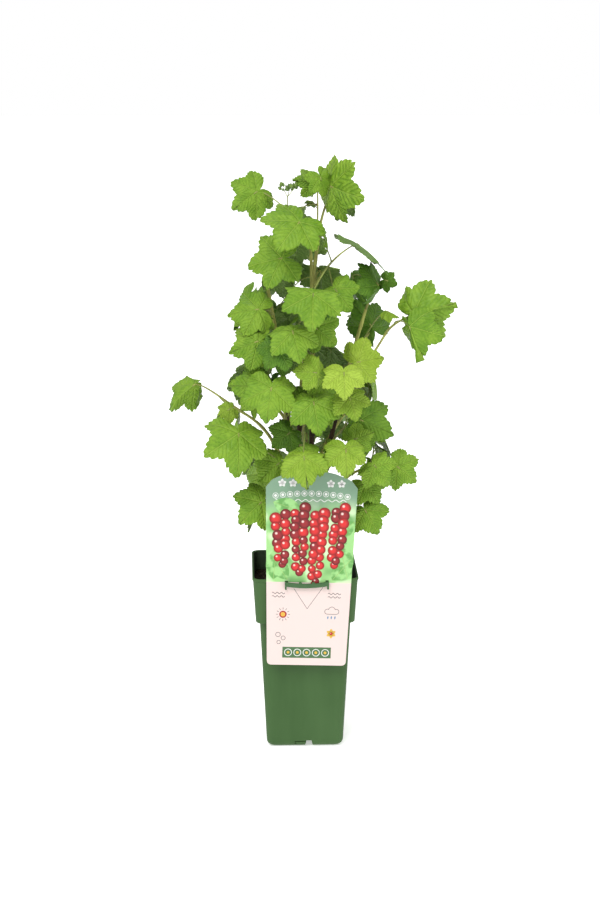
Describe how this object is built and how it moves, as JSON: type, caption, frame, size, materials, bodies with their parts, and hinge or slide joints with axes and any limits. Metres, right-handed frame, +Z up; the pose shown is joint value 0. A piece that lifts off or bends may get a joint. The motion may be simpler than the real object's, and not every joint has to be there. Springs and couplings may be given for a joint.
{
  "type": "potted currant bush",
  "caption": "Young red currant bush of four canes with lobed green leaves, in a square two litre nursery pot with a hanging card label.",
  "frame": {"origin": "centre of the pot's flat underside", "axes": "+Z up, -Y towards the label at the front, +X to the right seen from the front"},
  "size_m": [0.3232, 0.2319, 0.6756],
  "materials": {
    "pot_green": "matte green moulded plastic",
    "earth": "dark crumbly bark compost",
    "card": "printed pale card with a satin coat",
    "bark": "brown young bark",
    "foliage": "fresh green soft leaves"
  },
  "bodies": {
    "root": {"pot": "pot_green", "soil": "earth", "label": "card", "label_clip": "pot_green", "cane_main": "bark", "cane_left": "bark", "cane_right": "bark", "cane_back": "bark", "bough_far_left": "bark", "bough_low_left": "bark", "bough_far_right": "bark", "bough_low_right": "bark", "bough_back_left": "bark", "bough_back_right": "bark", "leaves_crown_top": "foliage", "leaves_crown_tip": "foliage", "leaves_crown_left": "foliage", "leaves_high_left": "foliage", "leaves_upper_left": "foliage", "leaves_high_centre": "foliage", "leaves_high_right": "foliage", "leaves_upper_right": "foliage", "leaves_far_right": "foliage", "leaves_centre": "foliage", "leaves_middle_left": "foliage", "leaves_lower_left": "foliage", "leaves_far_left": "foliage", "leaves_low_left": "foliage", "leaves_skirt_left": "foliage", "leaves_low_centre": "foliage", "leaves_middle_right": "foliage", "leaves_lower_right": "foliage", "leaves_low_right": "foliage", "leaves_arm_right": "foliage", "leaves_skirt_right": "foliage", "leaves_side_left": "foliage", "leaves_front_left": "foliage", "leaves_front_right": "foliage", "leaves_side_right": "foliage", "leaves_back_top": "foliage", "leaves_back_upper": "foliage", "leaves_back_middle": "foliage", "leaves_back_left": "foliage", "leaves_back_right": "foliage", "leaves_back_low": "foliage"}
  },
  "joints": []
}
